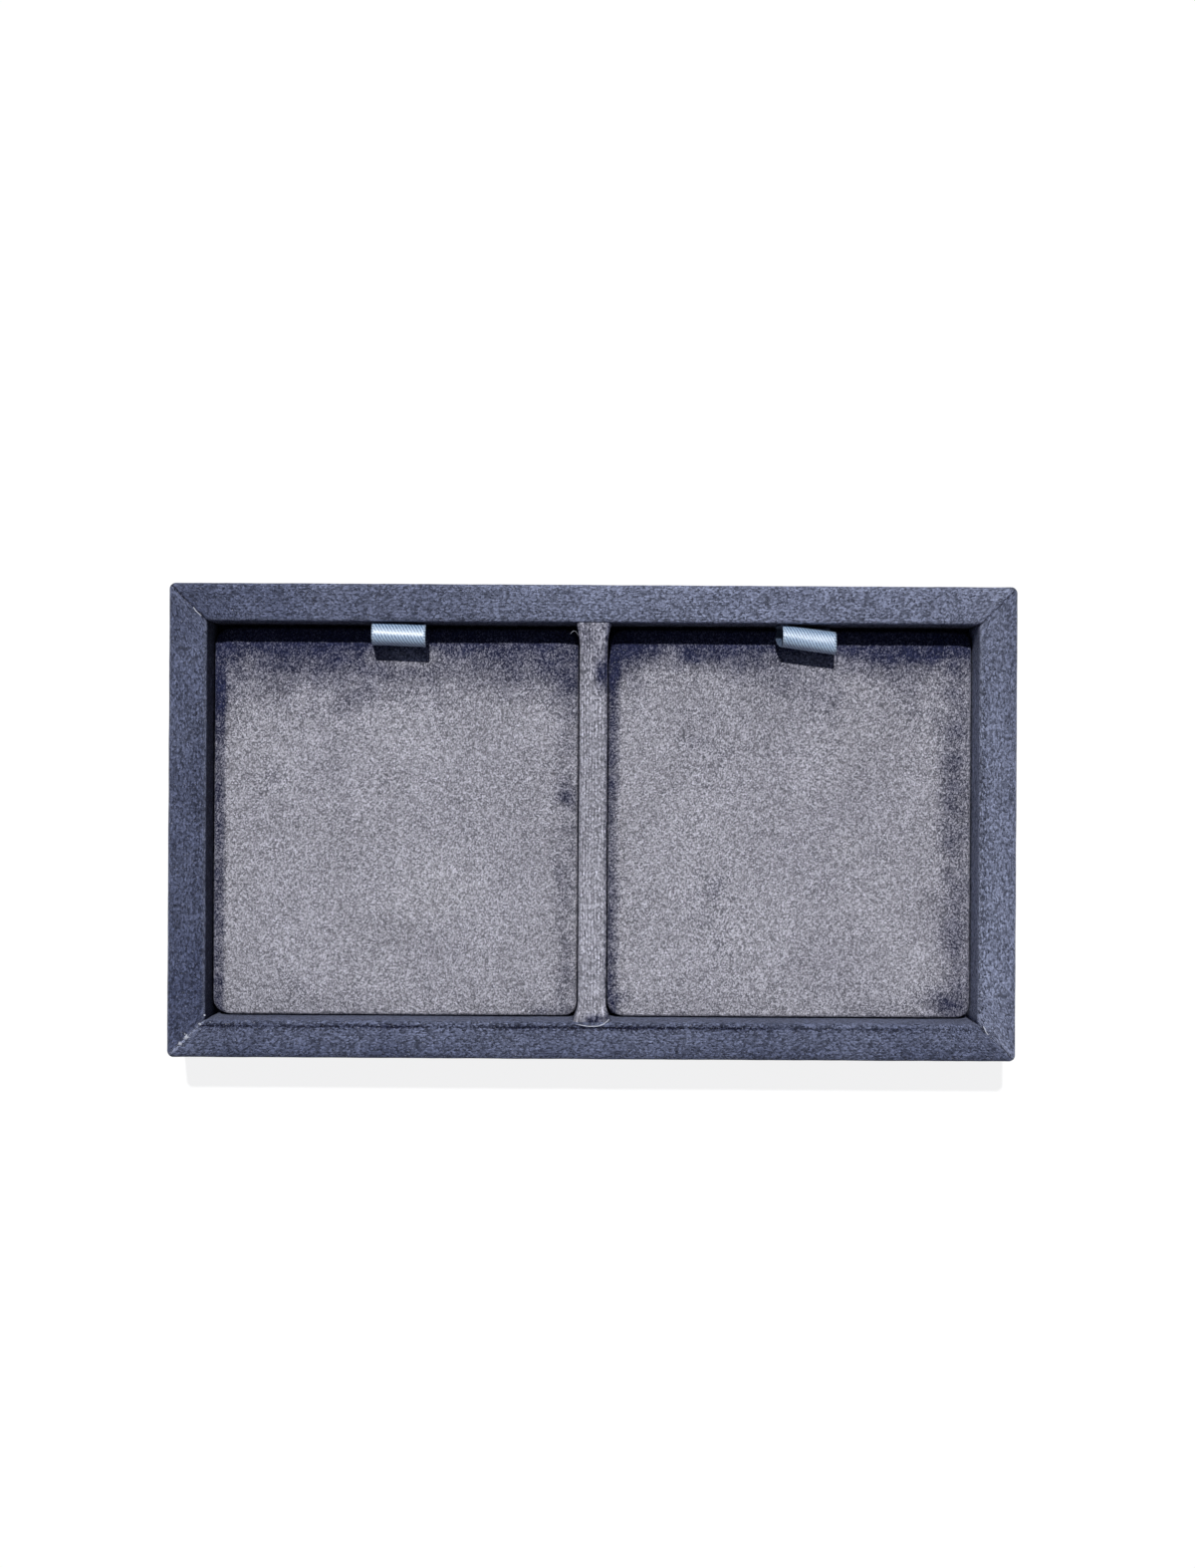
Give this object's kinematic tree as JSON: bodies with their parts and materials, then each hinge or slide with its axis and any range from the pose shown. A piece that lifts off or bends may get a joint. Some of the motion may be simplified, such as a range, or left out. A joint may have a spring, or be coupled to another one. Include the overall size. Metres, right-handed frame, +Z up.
{
  "type": "jewelry tray",
  "caption": "Shallow velvet-covered jewelry tray with mitred rims, wells either side of a divider, and padded inserts that lift out by ribbon loops.",
  "frame": {"origin": "middle of the underside, on the surface that the tray stands on", "axes": "+X along the tray to the right, +Y to the rear where the ribbon tabs are, +Z up"},
  "size_m": [0.236, 0.132, 0.024],
  "materials": {
    "frame_mdf": "sanded fibreboard",
    "rim_velvet": "short pile",
    "lining_velvet": "short pile",
    "bottom_felt": "pressed felt",
    "brad_steel": "bright",
    "pad_greyboard": "raw",
    "pad_foam": "open cell",
    "pad_velvet": "short pile",
    "backing_card": "matt",
    "ribbon_satin": "satin"
  },
  "bodies": {
    "tray": {"base_board": "frame_mdf", "bottom_cover": "bottom_felt", "front_rail": "frame_mdf", "rear_rail": "frame_mdf", "left_rail": "frame_mdf", "right_rail": "frame_mdf", "front_rail_cover": "rim_velvet", "rear_rail_cover": "rim_velvet", "left_rail_cover": "rim_velvet", "right_rail_cover": "rim_velvet", "divider_core": "frame_mdf", "divider_cover": "rim_velvet", "left_floor_lining": "lining_velvet", "right_floor_lining": "lining_velvet", "corner_brads": "brad_steel", "base_brads": "brad_steel"},
    "left_pad": {"left_pad_board": "pad_greyboard", "left_pad_foam": "pad_foam", "left_pad_cover": "pad_velvet", "left_pad_backing": "backing_card", "left_tab_tail": "ribbon_satin"},
    "right_pad": {"right_pad_board": "pad_greyboard", "right_pad_foam": "pad_foam", "right_pad_cover": "pad_velvet", "right_pad_backing": "backing_card", "right_tab_tail": "ribbon_satin"},
    "left_tab": {"left_tab_loop": "ribbon_satin"},
    "right_tab": {"right_tab_loop": "ribbon_satin"}
  },
  "joints": [
    {"name": "left_pad_lift", "type": "slide", "parent": "tray", "child": "left_pad", "axis": [0, 0, 1], "range_m": [0, 0.03]},
    {"name": "right_pad_lift", "type": "slide", "parent": "tray", "child": "right_pad", "axis": [0, 0, 1], "range_m": [0, 0.03]},
    {"name": "left_tab_fold", "type": "hinge", "parent": "left_pad", "child": "left_tab", "pos_m": [-0.05482, 0.0547, 0.01315], "axis": [1, 0, 0], "range_deg": [0, 30], "stiffness_Nm_per_rad": 0.0001, "springref_deg": -5.73},
    {"name": "right_tab_fold", "type": "hinge", "parent": "right_pad", "child": "right_tab", "pos_m": [0.05942, 0.0547, 0.01315], "axis": [1, 0, 0], "range_deg": [0, 22], "stiffness_Nm_per_rad": 0.0001, "springref_deg": -5.73}
  ]
}
